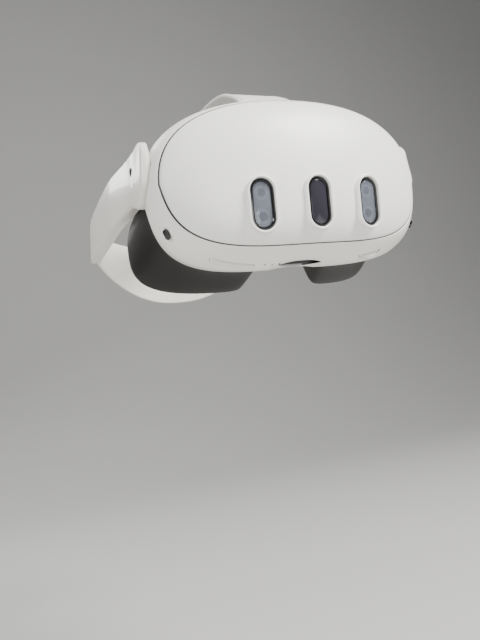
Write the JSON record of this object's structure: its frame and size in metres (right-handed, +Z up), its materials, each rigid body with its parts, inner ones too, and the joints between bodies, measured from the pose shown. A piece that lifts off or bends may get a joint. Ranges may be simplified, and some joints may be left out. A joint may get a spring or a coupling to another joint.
{
  "type": "vr headset",
  "caption": "Stand-alone VR headset: domed visor with pill-shaped camera windows, dark face cushion, rigid side arms, rear strap loop and top strap.",
  "frame": {"origin": "the middle of the face seat, where the cushion's contact surface crosses the middle plane", "axes": "+X to the wearer's left, +Y from the visor back towards the wearer's head, +Z up"},
  "size_m": [0.186, 0.2927, 0.1418],
  "materials": {
    "white": "fine satin, near white",
    "warm_white": "satin, warm white",
    "black": "satin black",
    "window_glass": "tinted blue-grey",
    "dark_glass": "dark smoked, glossy",
    "eye_lens": "coated clear lens",
    "foam": "charcoal knit over foam",
    "webbing": "light woven elastic",
    "strap": "smooth flexible band",
    "board": "solder mask",
    "light_metal": "bead blasted",
    "steel": "ground",
    "cell": "wrapped pouch cell"
  },
  "bodies": {
    "visor": {"front_cover": "white", "main_housing": "warm_white", "side_camera_left": "black", "side_camera_right": "black", "window_ring_left": "black", "window_ring_centre": "black", "window_ring_right": "black", "window_glass_left": "window_glass", "window_glass_centre": "dark_glass", "window_glass_right": "window_glass", "colour_camera_left": "black", "colour_camera_right": "black", "tracking_camera_left": "black", "tracking_camera_right": "black", "depth_projector": "black", "chassis": "light_metal", "main_board": "board", "heat_sink": "light_metal", "battery": "cell", "fan_housing": "black", "rear_frame": "black", "proximity_sensor": "dark_glass", "frame_screw_top_left": "steel", "frame_screw_top_right": "steel", "frame_screw_low_left": "steel", "frame_screw_low_right": "steel", "lens_rail": "steel", "pivot_pin_left": "steel", "pivot_pin_right": "steel", "top_strap_anchor": "warm_white"},
    "volume_key": {"volume_rocker": "white"},
    "power_key": {"power_button": "white"},
    "fan": {"fan_rotor": "black"},
    "eye_left": {"lens_barrel_left": "black", "lens_left": "eye_lens", "display_left": "dark_glass", "link_rack_left": "light_metal", "drive_rack": "light_metal"},
    "eye_right": {"lens_barrel_right": "black", "lens_right": "eye_lens", "display_right": "dark_glass", "link_rack_right": "light_metal"},
    "spacing_wheel": {"ipd_wheel": "white"},
    "link_gear": {"ipd_pinion": "light_metal"},
    "face_pad": {"face_cushion": "foam", "face_frame": "black"},
    "head_strap": {"arm_left": "warm_white", "arm_right": "warm_white", "arm_cover_left": "warm_white", "arm_cover_right": "warm_white", "speaker_left": "black", "speaker_right": "black", "usb_port": "light_metal", "audio_jack": "black", "top_strap": "webbing"},
    "rear_band": {"rear_strap": "strap", "rear_buckle": "warm_white"}
  },
  "joints": [
    {"name": "arm_tilt", "type": "hinge", "parent": "visor", "child": "head_strap", "pos_m": [0, -0.0365, 0.0145], "axis": [1, 0, 0], "range_deg": [-1, 14], "deforming": ["top_strap"]},
    {"name": "strap_length", "type": "slide", "parent": "head_strap", "child": "rear_band", "axis": [0, 1, 0], "range_m": [-0.022, 0.01], "deforming": ["top_strap"]},
    {"name": "face_depth", "type": "slide", "parent": "visor", "child": "face_pad", "axis": [0, 1, 0], "range_m": [0, 0.01]},
    {"name": "spacing_turn", "type": "hinge", "parent": "visor", "child": "spacing_wheel", "pos_m": [0.0405, -0.058, -0.0359], "axis": [0, 1, 0], "range_deg": [-67, 67]},
    {"name": "lens_left_slide", "type": "slide", "parent": "visor", "child": "eye_left", "axis": [1, 0, 0], "range_m": [-0.003, 0.003]},
    {"name": "lens_right_slide", "type": "slide", "parent": "visor", "child": "eye_right", "axis": [1, 0, 0], "range_m": [-0.003, 0.003]},
    {"name": "link_turn", "type": "hinge", "parent": "visor", "child": "link_gear", "pos_m": [0, -0.0475, 0.0345], "axis": [0, 1, 0], "range_deg": [-67, 67]},
    {"name": "fan_spin", "type": "hinge", "parent": "visor", "child": "fan", "pos_m": [0, -0.0566, 0.016], "axis": [0, 1, 0], "continuous": true},
    {"name": "volume_press", "type": "hinge", "parent": "visor", "child": "volume_key", "pos_m": [-0.046, -0.0565, -0.043], "axis": [0, 1, 0], "range_deg": [-1.6, 1.6], "stiffness_Nm_per_rad": 0.6},
    {"name": "power_press", "type": "slide", "parent": "visor", "child": "power_key", "axis": [-1, 0, 0], "range_m": [0, 0.0008], "stiffness_N_per_m": 800}
  ],
  "couplings": [
    {"joint": "spacing_turn", "follows": "lens_left_slide", "rad_per_m": 384.62},
    {"joint": "lens_right_slide", "follows": "lens_left_slide", "ratio": -1},
    {"joint": "link_turn", "follows": "lens_left_slide", "rad_per_m": 384.62}
  ]
}
